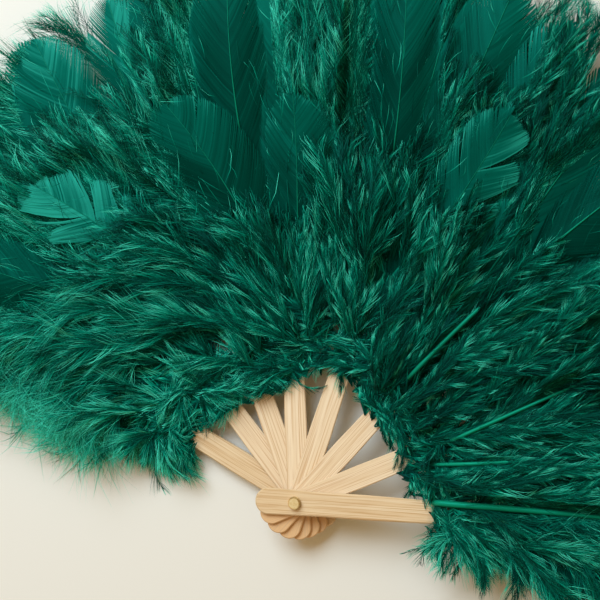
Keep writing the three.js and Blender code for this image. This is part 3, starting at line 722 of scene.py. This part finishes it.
def growBarbs(growth, path, length, under, tuftShade, share, rng):
    # barbs on both sides of every shaft; each walks from the shaft, its angle to it closing towards the tip
    count, steps = path.shape[:2]
    short = share.mean() < shortBarbs["below"] and growth["points"] > 3
    perSide = int(growth["barbs"] / share.mean() ** 0.7 * (shortBarbs["barbs"] if short else 1))
    lock = barbShape["lock"]
    place = (np.arange(perSide)[None, None] + rng.random((count, 2, perSide)) * 0.8) / perSide
    t = growth["bare"] + (1 - growth["bare"]) * place
    lockStart = rng.random((count, 2, 1))
    lockOf = np.floor(place * perSide / lock + lockStart).astype(int)
    lockCentre = growth["bare"] + (1 - growth["bare"]) * np.clip((lockOf + 0.5 - lockStart) * lock / perSide, 0, 1)
    locks = lockOf.max() + 1
    who = np.arange(count * 2).reshape(count, 2, 1) * locks + lockOf
    lockRandom = rng.normal(0, 1, (count * 2 * locks, 4))[who]
    x = t * (steps - 1)
    k = np.clip(x.astype(int), 0, steps - 2)
    part = (x - k)[..., None]
    m = np.arange(count)[:, None, None]
    start = path[m, k] * (1 - part) + path[m, k + 1] * part
    ahead = unit(path[m, k + 1] - path[m, k])
    rolled, wound = barbShape["roll"]
    roll = rng.uniform(-rolled, rolled, (count, 1, 1)) + wound * (t - 0.5) * rng.uniform(-1, 1, (count, 1, 1))
    flatSide = unit(np.cross([0, 0, 1.0], ahead))
    flatUp = np.cross(ahead, flatSide)
    side = flatSide * np.cos(roll)[..., None] + flatUp * np.sin(roll)[..., None]
    up = np.cross(ahead, side)
    sign = np.array([-1, 1])[None, :, None]

    def offShaft(key, number):
        # an angle of each barb: between two limits for its shaft, plus what is its lock's and what is its own
        low, high, ofLocks, ofBarbs = barbShape[key]
        angles = rng.uniform(low, high, (count, 1, 1)) + rng.normal(0, ofBarbs, t.shape)
        return np.radians(angles + ofLocks * lockRandom[..., number])

    def rising(key, number):
        # the same, about one middle for all
        middle, ofLocks, ofBarbs = barbShape[key]
        return np.radians(middle + ofLocks * lockRandom[..., number] + rng.normal(0, ofBarbs, t.shape))

    full = offShaft("leave", 0) * (1 - 0.45 * smooth(0.75, 1.0, t))
    close = offShaft("arrive", 1)
    lift, droop = rising("lift", 2), rising("droop", 3)
    size = rng.uniform(*growth["barb"], (count, 1, 1)) * share[:, None, None]
    size = size * (0.55 + 0.45 * smooth(0, 0.25, t)) * (1 - 0.5 * smooth(0.55, 1, t))
    ofLocks, *ofBarbs = barbShape["lengths"]
    size = size * (1 + ofLocks * lockRandom[..., 1]) * rng.uniform(*ofBarbs, t.shape)
    points = [start]
    n = growth["points"] - short
    for step in range(1, n):
        v = (step - 0.5) / (n - 1)
        angle = full + (close - full) * v
        tilt = lift + (droop - lift) * v
        aside = side * (sign * np.sin(angle) * np.cos(tilt))[..., None]
        move = ahead * (np.cos(angle) * np.cos(tilt))[..., None] + aside + up * np.sin(tilt)[..., None]
        points.append(points[-1] + move * (size / (n - 1))[..., None])
    barbs = np.stack(points, -2)  # [shaft, side, barb, step, 3]
    v = np.linspace(0, 1, n)
    apart = ((t - lockCentre) * length[:, None, None])[..., None, None] * ahead[..., None, :]
    barbs -= apart * barbShape["cling"] * (shortBarbs["cling"] if short else 1) * (v ** 1.4)[:, None]
    lighter, lightest = barbShape["lockToneAndHighlight"]
    atRoot, more = barbShape["paintedShadeAlong"]
    middle, ofBarbs = barbShape["shade"]
    ofTufts, ofPlumelets = tuftShape["toneSpread"]
    shade = middle + ofTufts * (tuftShade + rng.normal(0, ofPlumelets, count))[:, None, None]
    shade = shade + lighter * lockRandom[..., 0]
    # painted shade at the root and painted light towards the tip
    shade = (shade + rng.normal(0, ofBarbs, t.shape))[..., None] * (atRoot + more * v)
    # painted highlight on the ends of the lightest locks
    shade = shade + lightest * np.maximum(lockRandom[..., 0], 0)[..., None] ** 2 * v
    shade = np.clip(shade, *shadeLimits).reshape(-1, n)
    return barbs.reshape(-1, n, 3), up.reshape(-1, 3), shade, np.repeat(under, 2 * perSide)


def tuckUnder(points, index, passes, ragged):
    # strands are pressed below every vane and quill that shows, and rise beside it: less steeply by a vane. ragged
    # is how much later each strand gives way to a vane
    world = turnXY(points, staveAngles[index])
    z = world[..., 2]
    reach = np.hypot(world[..., 0], world[..., 1])
    besideVane, besideQuill = tuck["beside"]
    for feather in shownFeathers:
        a, lateral = feather.local(world)
        onVane = reach > feather.vaneFrom + ragged
        onQuill = np.zeros(reach.shape, bool)
        for low, high in feather.quillShows:
            onQuill |= (reach > low - 3) & (reach < high)
        wide = feather.halfWidth(np.clip(a, 0, 1)) * onVane
        out = np.maximum(np.abs(lateral) - wide, 0) + np.maximum(a - 1, 0) * feather.length
        near = ((onVane & (out < besideVane)) | (onQuill & (out < besideQuill))) & (a > 0) & ~passes
        limit = feather.height(np.clip(a, 0, 1), lateral * (np.abs(lateral) < feather.width))
        limit = limit - tuck["below"][bool(feather.splits)] + np.where(onVane, *tuck["slope"]) * out
        z = np.where(near & (z > limit), limit, z)
    points[..., 2] = z
    return points


def liftOffStave(points, index, height):
    # nothing of the front down dips into the stave that it grows on: its floor is the face of the blade, and falls
    # steadily past the edges
    past = np.maximum(np.abs(points[..., 1]) - blade["half"], 0) + np.maximum(points[..., 0] - blade["end"], 0)
    points[..., 2] = np.maximum(points[..., 2], staveTops[index] + height - blade["fall"] * past)
    return points


def drawWisps(barbs, shade, margin, index, rng):
    # Barbs drawn in to the outline of the down, each to its own distance past its plumelet's margin, and painted
    # lighter near it, for light that comes through. The longest are longer still, painted lighter too, and curl
    # sideways by the square of the share along them. Returns them in the frame of their stave, their shades, and how
    # loose each is
    turn = staveAngles[index]
    world = turnXY(barbs[:, :1], turn)
    farOut = smooth(*wisp["outside"], np.hypot(world[..., 0], world[..., 1]))
    (spread, most), (spreadOut, mostOut) = wisp["reach"], wisp["reachOut"]
    wisps = np.repeat(margin, len(barbs) // len(margin), 0) - wisp["past"]
    draw = rng.exponential(1, (len(barbs), 1)) * (spread + spreadOut * farOut)
    wisps = wisps - np.minimum(draw, most + mostOut * farOut)
    v = np.linspace(0, 1, barbs.shape[1])
    noMargin = np.zeros((len(barbs), 1))
    nearEdge = smooth(*wisp["nearRim"], insideBy(world, noMargin))
    loose = smooth(*wisp["loose"], -wisps) * farOut * nearEdge
    sideways = np.stack([barbs[:, 0, 1] - barbs[:, -1, 1], barbs[:, -1, 0] - barbs[:, 0, 0]], -1)
    curl = rng.normal(0, wisp["curl"], (len(barbs), 1)) * loose * v ** 2
    barbs[..., :2] += curl[..., None] * unit(sideways)[:, None]
    barbs = barbs[:, :1] + (barbs - barbs[:, :1]) * (1 + wisp["longer"] * loose)[..., None]
    barbs = trimmed(turnXY(barbs, turn), wisps, tuftShape["shortest"][1])[0]
    fringeFrom, fringeBy, fringe = wisp["fringe"]
    edge = smooth(fringeFrom, fringeBy, insideBy(barbs[:, -1:], noMargin))
    # painted light near the outline and on the loose barbs
    shade = np.clip(shade + (fringe * edge + wisp["light"] * loose) * v, *shadeLimits)
    return turnXY(barbs, -turn), shade, loose


def downPiece(name, index, growths, seed, materials):
    # the growths of one stave as one mesh: each barb a flat strip that twists and thins to a point, each shaft a
    # three-sided tube
    rng = np.random.default_rng(seed)
    parts = []
    for growth in growths:
        path, length, under, tuftShade, share, margin = growShafts(growth, index, rng)
        barbs, up, shade, passesUnder = growBarbs(growth, path, length, under, tuftShade, share, rng)
        barbs, shade, loose = drawWisps(barbs, shade, margin, index, rng)
        count, n = barbs.shape[:2]
        if growth is not backGrowth:
            ofAll, ofOthers = wisp["over"]
            over = (rng.random(count) < ofAll) | (~passesUnder & (rng.random(count) < ofOthers))
            ragged = rng.normal(0, tuck["ragged"], (len(path), 1))
            barbs = tuckUnder(barbs, index, over[:, None], np.repeat(ragged, count // len(path), 0))
            path = tuckUnder(path, index, np.zeros((1, 1), bool), ragged)
            barbs, path = [liftOffStave(s, index, off) for s, off in zip((barbs, path), aboveBlade)]
        for strands, lowest in zip((barbs, path), fan["floor"]):
            strands[..., 2] = np.maximum(strands[..., 2], lowest)
        ahead = unit(np.gradient(barbs, axis=1))
        twist = np.radians(rng.uniform(-1, 1, (count, 1, 1)) * barbShape["twist"])
        flat = unit(np.cross(ahead, up[:, None]))
        across = flat * np.cos(twist) + np.cross(ahead, flat) * np.sin(twist)
        thins, power = barbShape["thinning"]
        thinning = (1 - thins * np.linspace(0, 1, n) ** power)[:, None]
        half = growth["width"] / 2 * (shortBarbs["width"] if n < growth["points"] else 1) * thinning
        half = half * (1 - wisp["thinner"] * loose)[..., None]
        parts.append(ribbons((barbs - across * half)[:, :-1], (barbs + across * half)[:, :-1], barbs[:, -1], shade))
        if growth is not matGrowth:
            radius, thins = tuftShape["shaft"]
            radii = radius * (1 - thins * np.linspace(0, 1, path.shape[1]))
            parts.append(tubes(path, np.tile(radii, (len(path), 1)), 3, 0.3))
    points, faces, uvs, finish = joinParts(parts)
    return meshObject(name, turnXY(points, staveAngles[index]), faces, uvs, materials, finish)


# Materials

def linear(colour):
    # 0 to 255 sRGB to scene linear, with an alpha of 1
    c = np.array(colour) / 255
    return *np.where(c <= 0.04045, c / 12.92, ((c + 0.055) / 1.055) ** 2.4), 1


def addNode(tree, kind, values=None, wires=None, **settings):
    # a shader node with its settings, the values of its inputs, and the outputs that are wired to them
    node = tree.nodes.new(f"ShaderNode{kind}")
    for key, value in settings.items():
        setattr(node, key, value)
    for key, value in (values or {}).items():
        node.inputs[key].default_value = value
    for key, output in (wires or {}).items():
        tree.links.new(output, node.inputs[key])
    return node


def newMaterial(name, values):
    # a material with these values in its Principled shader, its node tree and that shader
    material = bpy.data.materials.new(name)
    material.use_nodes = True
    shader = material.node_tree.nodes["Principled BSDF"]
    for key, value in values.items():
        shader.inputs[key].default_value = value
    return material, material.node_tree, shader


def newGroup(name, inputs, outputs):
    # an empty shader group; inputs and outputs are pairs of a name and a kind of socket
    group = bpy.data.node_groups.new(name, "ShaderNodeTree")
    for way, sockets in (("INPUT", inputs), ("OUTPUT", outputs)):
        for label, kind in sockets:
            group.interface.new_socket(label, in_out=way, socket_type=f"NodeSocket{kind}")
    return group, group.nodes.new("NodeGroupInput"), group.nodes.new("NodeGroupOutput")


def mixColours(group, share, first, second):
    # first where the share is 0, second where it is 1
    mix = addNode(group, "Mix", wires={"Factor": share, "A": first, "B": second}, data_type="RGBA")
    return mix.outputs["Result"]


def rangeOf(group, value, low, high):
    # 0 at low and 1 at high, held at both ends
    return addNode(group, "MapRange", {"From Min": low, "From Max": high}, {"Value": value}).outputs["Result"]


shadeColours = ["Root", "Dark", "Light", "Shine"]
grainColours = ["Vein", "Base", "Pale", "HeadShade", "Stain"]
grain = {
    "fine": ((24, 1900, 1900), 3),  # scale along, across and through the stave, and detail
    "broad": ((6, 420, 420), 2),
    "pale": (0.42, 0.68),  # the levels of the broad noise between which the wood turns pale
    "veins": (0.53, 0.35),  # and of the fine noise, where it turns to veins
    # where the heads behind the rivet are painted browner, for the warm shade under the guard
    "head": (0.001, -0.004),  # along the stave, where it turns browner
    "stain": (0.070, 0.086),  # how far from the rivet the dye begins, and where it is full
}


def strandGroup():
    # colour by the shade of each strand, which is the u of OFBake: root shade, dark, light and shine in turn
    # the root shade is painted shade deep in the down, and the shine a painted highlight
    group, given, out = newGroup("strandShade", [(c, "Color") for c in shadeColours], [("Color", "Color")])
    uv = addNode(group, "UVMap", uv_map="OFBake")
    shade = addNode(group, "SeparateXYZ", wires={0: uv.outputs[0]}).outputs[0]
    colour = given.outputs["Root"]
    for name, low, high in (("Dark", 0.0, 0.3), ("Light", 0.3, 0.65), ("Shine", 0.65, 1.0)):
        colour = mixColours(group, rangeOf(group, shade, low, high), colour, given.outputs[name])
    group.links.new(colour, out.inputs["Color"])
    return group


def grainGroup():
    # fine straight grain, noise stretched along the stave, over broader bands; browner behind the rivet, painted for
    # the warm shade the stick heads lie in, and stained by the dye of the down farther out
    group, given, out = newGroup("bambooGrain", [("Turn", "Vector")] + [(c, "Color") for c in grainColours],
                                 [("Color", "Color"), ("Height", "Float")])
    where = addNode(group, "TexCoord").outputs["Object"]
    turned = addNode(group, "Mapping", wires={"Vector": where, "Rotation": given.outputs["Turn"]},
                     vector_type="TEXTURE").outputs[0]
    noises = []
    for scale, detail in (grain["fine"], grain["broad"]):
        stretch = addNode(group, "Mapping", {"Scale": scale}, {"Vector": turned})
        noise = addNode(group, "TexNoise", {"Scale": 1.0, "Detail": detail, "Roughness": 0.6},
                        {"Vector": stretch.outputs[0]})
        noises.append(noise.outputs["Fac"])
    fine, broad = noises
    along = addNode(group, "SeparateXYZ", wires={0: turned}).outputs["X"]
    flat = addNode(group, "VectorMath", {1: (1, 1, 0)}, {0: where}, operation="MULTIPLY")
    reach = addNode(group, "VectorMath", wires={0: flat.outputs[0]}, operation="LENGTH").outputs["Value"]
    colour = given.outputs["Base"]
    for name, value, limits in (("Pale", broad, "pale"), ("HeadShade", along, "head"), ("Vein", fine, "veins"),
                                ("Stain", reach, "stain")):
        colour = mixColours(group, rangeOf(group, value, *grain[limits]), colour, given.outputs[name])
    group.links.new(colour, out.inputs["Color"])
    group.links.new(fine, out.inputs["Height"])
    return group


def groupNode(tree, group, names, colours, **vectors):
    # the group placed in a material, with its own colours and vectors
    values = {**{name: linear(colour) for name, colour in zip(names, colours)}, **vectors}
    return addNode(tree, "Group", values, node_tree=group)


def featherMaterial(name, colours, roughness, gloss):
    # strands coloured by their shade, with a green shine
    material, tree, shader = newMaterial(
        name, {"Roughness": roughness, "Specular IOR Level": gloss, "Specular Tint": (0.05, 1.0, 0.75, 1)})
    strands = groupNode(tree, strandShade, shadeColours, colours)
    tree.links.new(strands.outputs["Color"], shader.inputs["Base Color"])
    return material


def bambooMaterial(name, angle, colours):
    # the grain turned along its stave, and as a faint bump
    material, tree, shader = newMaterial(name, {"Roughness": 0.5})
    wood = groupNode(tree, bambooGrain, grainColours, colours, Turn=(0, 0, angle))
    bump = addNode(tree, "Bump", {"Strength": 0.3, "Distance": 0.0001}, {"Height": wood.outputs["Height"]})
    tree.links.new(wood.outputs["Color"], shader.inputs["Base Color"])
    tree.links.new(bump.outputs[0], shader.inputs["Normal"])
    return material


def brassMaterial():
    # two tones of brass by a fine noise
    material, tree, shader = newMaterial("brass", {"Metallic": 1.0, "Roughness": 0.3})
    where = addNode(tree, "TexCoord").outputs["Object"]
    noise = addNode(tree, "TexNoise", {"Scale": 900}, {"Vector": where})
    ramp = addNode(tree, "ValToRGB", wires={0: noise.outputs["Fac"]})
    for element, place, colour in zip(ramp.color_ramp.elements, (0.3, 0.7), ((226, 192, 128), (242, 214, 158))):
        element.position, element.color = place, linear(colour)
    tree.links.new(ramp.outputs[0], shader.inputs["Base Color"])
    return material


print("materials")
strandShade = strandGroup()
bambooGrain = grainGroup()
# the feathers' own colours, with painted shade as the darkest stop and painted highlight as the lightest
dyesAndPaintedLight = {  # of root, dark, light and shine, then roughness and gloss
    "marabou": ([(0, 20, 14), (0, 79, 60), (6, 145, 113), (74, 216, 180)], 0.5, 0.22),
    "plume": ([(0, 34, 26), (0, 58, 45), (2, 92, 75), (40, 170, 146)], 0.5, 0.12),
    "quill": ([(4, 84, 60), (6, 100, 74), (12, 136, 100), (50, 172, 138)], 0.35, 0.3),
    "ribbon": ([(0, 78, 60), (0, 84, 64), (2, 92, 70), (2, 96, 74)], 0.4, 0.3),
}
downMaterial = featherMaterial("marabou", *dyesAndPaintedLight["marabou"])
vaneMaterial = featherMaterial("plume", *dyesAndPaintedLight["plume"])
quillMaterial = featherMaterial("quill", *dyesAndPaintedLight["quill"])
brass = brassMaterial()

# head is the painted warm shade of the stick heads behind the rivet
wood = {  # vein, base, pale, head and stain
    "guard": [(198, 157, 104), (222, 191, 145), (231, 205, 163), (222, 191, 145), (0, 64, 50)],
    "stick": [(208, 169, 122), (230, 202, 160), (240, 216, 178), (222, 177, 122), (0, 64, 50)],
}
for index, name in enumerate(staveNames):
    colours = wood["guard" if index in (0, lastStave) else "stick"]
    nodes[name].data.materials.clear()
    nodes[name].data.materials.append(bambooMaterial(f"bamboo_{name}", staveAngles[index], colours))
for name in ("rivet_pin", "rear_washer", "front_washer"):
    nodes[name].data.materials.clear()
    nodes[name].data.materials.append(brass)

print("feathers")
for index, name in enumerate(staveNames):
    for kind, sets, first in (("plumes", plumeSets, 60), ("covers", coverSets, 80)):
        seed = fan["seed"] + first + index
        piece = vanePiece(f"{name}_{kind}_barbs", sets[index], seed, [vaneMaterial, quillMaterial])
        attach(piece, name)
        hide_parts(f"{name}_{kind}")
        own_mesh(piece)
    inside = [matGrowth, inwardGrowth, rootGrowth, innerGrowth] + [guardSideGrowth] * (index in (0, lastStave))
    sides = [("front", inside, 100), ("long", [farGrowth, tipGrowth, outerGrowth], 110), ("back", [backGrowth], 120)]
    for side, growths, first in sides:
        piece = downPiece(f"{name}_marabou_{side}", index, growths, fan["seed"] + first + index, [downMaterial])
        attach(piece, name)
        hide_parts(f"{name}_down_back" if side == "back" else f"{name}_down_front")
        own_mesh(piece)
        print(piece.name, len(piece.data.polygons), "faces")

# Link ribbons: a narrow satin strip across each gap, laid between the two staves it joins

print("ribbons")
link = {"reach": 74.0, "width": 6.0, "thickness": 0.35, "slack": 1.2, "onStave": 0.22, "steps": 20}
ribbonMaterial = featherMaterial("ribbon", *dyesAndPaintedLight["ribbon"])


def linkRibbon(index, box):
    # an oblong carried from the lower stave to the next one up: its angle goes evenly, its level as an S curve past
    # the share that lies on each stave, and its middle comes in by slack times a sine
    t = np.linspace(0, 1, link["steps"])
    angle = staveAngles[index + 1] + (staveAngles[index] - staveAngles[index + 1]) * t
    climb = smooth(link["onStave"], 1 - link["onStave"], t)
    floorLevel, topLevel = box[0].z / mm, box[1].z / mm - link["thickness"]
    inner = link["reach"] - link["slack"] * np.sin(np.pi * climb)
    corners = np.array([[0, 0], [0, link["thickness"]], [link["width"], link["thickness"]], [link["width"], 0]])
    reach = inner[:, None] + corners[:, 0]
    level = (floorLevel + (topLevel - floorLevel) * climb)[:, None] + corners[:, 1]
    rings = np.stack([reach * np.cos(angle)[:, None], reach * np.sin(angle)[:, None], level], -1)
    return loft(rings[None], 0.5)


for index in range(lastStave):
    name = f"link_ribbon_{index + 1}"
    points, faces, uvs, number = linkRibbon(index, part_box(name))
    piece = meshObject(f"{name}_satin", points, faces, uvs, [ribbonMaterial])
    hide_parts(name)
    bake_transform(piece)

# Stage: floor, soft light from the upper left, and the camera at the photograph's angle

print("stage")
stage = {
    "floorHalf": 3.0,
    "floorDrop": 0.0034,  # the fan rests on its down
    "floorColour": (232, 228, 214),
    "keyPlace": (-0.63, 0.68, 1.12),
    "keyAim": (0, 0.12, 0),
    "keySize": 0.9,
    "keyPower": 24.2,
    "keyColour": (0.67, 0.824, 1.0),
    "worldColour": (1.0, 0.72, 0.40),
    "world": 0.48,
    "mirrored": (1.0, 0.96, 0.88),  # what polished metal shows of the room
    "window": (-0.5, 0.6, 0.3),  # where that is brightest
    "windowSpan": (-0.25, 0.75),  # how far round the room it begins to brighten, and where it is brightest
    "mirroredStrength": (0.1, 1.3),  # away from the window and towards it
}

bpy.ops.mesh.primitive_plane_add(size=2 * stage["floorHalf"], location=(0, 0, -stage["floorDrop"]))
floor = bpy.context.object
floor.name = "floor"
floor.data.materials.append(newMaterial(
    "floor", {"Base Color": linear(stage["floorColour"]), "Roughness": 0.9, "Specular IOR Level": 0.1})[0])

world = bpy.data.worlds.new("studio")
bpy.context.scene.world = world
world.use_nodes = True
room = world.node_tree
plain = room.nodes["Background"]
plain.inputs["Color"].default_value = (*stage["worldColour"], 1)
plain.inputs["Strength"].default_value = stage["world"]
around = addNode(room, "TexCoord").outputs["Generated"]
toWindow = addNode(room, "VectorMath", {1: stage["window"]}, {0: around}, operation="DOT_PRODUCT")
limits = dict(zip(("From Min", "From Max", "To Min", "To Max"), stage["windowSpan"] + stage["mirroredStrength"]))
brightness = addNode(room, "MapRange", limits, {"Value": toWindow.outputs["Value"]})
mirrored = addNode(room, "Background", {"Color": (*stage["mirrored"], 1)}, {"Strength": brightness.outputs["Result"]})
glossy = addNode(room, "LightPath").outputs["Is Glossy Ray"]
either = addNode(room, "MixShader", wires={"Fac": glossy, 1: plain.outputs[0], 2: mirrored.outputs[0]})
room.links.new(either.outputs[0], room.nodes["World Output"].inputs["Surface"])

keyLight = bpy.data.lights.new("key", "AREA")
keyLight.size = stage["keySize"]
keyLight.energy = stage["keyPower"]
keyLight.color = stage["keyColour"]
key = bpy.data.objects.new("key", keyLight)
bpy.context.scene.collection.objects.link(key)
key.location = stage["keyPlace"]
key.rotation_mode = "QUATERNION"
key.rotation_quaternion = (Vector(stage["keyAim"]) - key.location).to_track_quat("-Z", "Y")

lens = {
    "place": (139.8, 127.1, 852.3),
    "right": (0.93966, 0.27942, -0.19737),
    "up": (-0.27926, 0.95977, 0.02926),
    "back": (0.19760, 0.02762, 0.97989),
    "focal": 96.0,
    "sensor": 36,
}
cameraData = bpy.data.cameras.new("camera")
cameraData.lens = lens["focal"]
cameraData.sensor_width = lens["sensor"]
camera = bpy.data.objects.new("camera", cameraData)
bpy.context.scene.collection.objects.link(camera)
turn = Matrix([lens["right"], lens["up"], lens["back"]]).transposed()
camera.matrix_world = Matrix.Translation(Vector(lens["place"]) * mm) @ turn.to_4x4()
bpy.context.scene.camera = camera
bpy.context.scene.view_settings.view_transform = "Standard"
